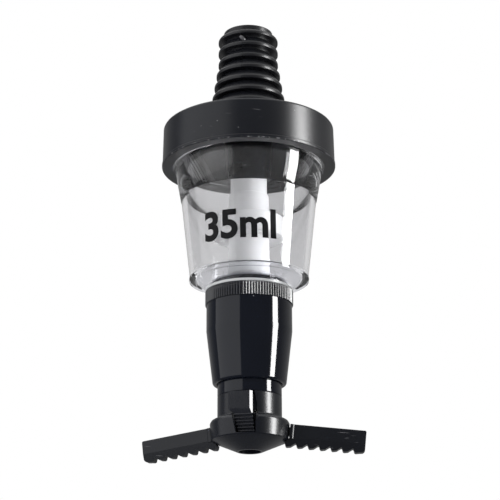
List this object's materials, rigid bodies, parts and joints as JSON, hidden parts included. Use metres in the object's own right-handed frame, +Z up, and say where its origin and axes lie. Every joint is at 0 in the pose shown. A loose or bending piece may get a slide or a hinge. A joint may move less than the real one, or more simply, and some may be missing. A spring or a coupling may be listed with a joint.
{
  "type": "spirit measure dispenser",
  "caption": "Hanging spirit measure: ribbed bottle bung, clear measuring chamber under a round collar, and a sprung push-up valve with two toothed arms and an outlet.",
  "frame": {"origin": "on the axis, at the middle of the three upper bung ribs that grip the bottle neck", "axes": "+Z up along the axis towards the bottle, -Y to the front with the release tab, +X to the right arm"},
  "size_m": [0.0726, 0.0588, 0.1483],
  "materials": {
    "black_rubber": "moulded black rubber with a satin skin and a parting seam",
    "satin_black": "moulded satin black plastic, lightly scuffed on its edges",
    "gloss_black": "polished black plastic",
    "clear_plastic": "clear moulded plastic",
    "white_plastic": "white moulded plastic",
    "frosted_plastic": "frosted natural plastic",
    "washer_plastic": "pale washer",
    "seal_rubber": "dark seal rubber",
    "spring_steel": "bright spring steel"
  },
  "bodies": {
    "measure": {"bung": "black_rubber", "inlet_stem": "satin_black", "collar": "satin_black", "cap_gasket": "seal_rubber", "vent_valve": "seal_rubber", "chamber": "clear_plastic", "outlet_seal": "seal_rubber", "guide_bush": "white_plastic", "neck_washer": "washer_plastic", "knurled_ring": "gloss_black", "barrel": "gloss_black", "spring_washer": "spring_steel", "return_spring": "spring_steel"},
    "plunger": {"valve_tube": "white_plastic", "inlet_seal": "seal_rubber", "measure_ring": "frosted_plastic", "slider_tube": "gloss_black", "tube_clip": "spring_steel", "spout_seal": "seal_rubber", "hub": "satin_black", "left_arm": "satin_black", "right_arm": "satin_black"},
    "tab": {"release_tab": "satin_black"}
  },
  "joints": [
    {"name": "plunger_lift", "type": "slide", "parent": "measure", "child": "plunger", "axis": [0, 0, 1], "range_m": [0, 0.0037], "stiffness_N_per_m": 500, "springref_m": -0.012, "deforming": ["return_spring"]},
    {"name": "tab_press", "type": "hinge", "parent": "plunger", "child": "tab", "pos_m": [0, -0.00905, -0.12912], "axis": [1, 0, 0], "range_deg": [0, 4], "stiffness_Nm_per_rad": 0.05, "springref_deg": -1.15}
  ]
}
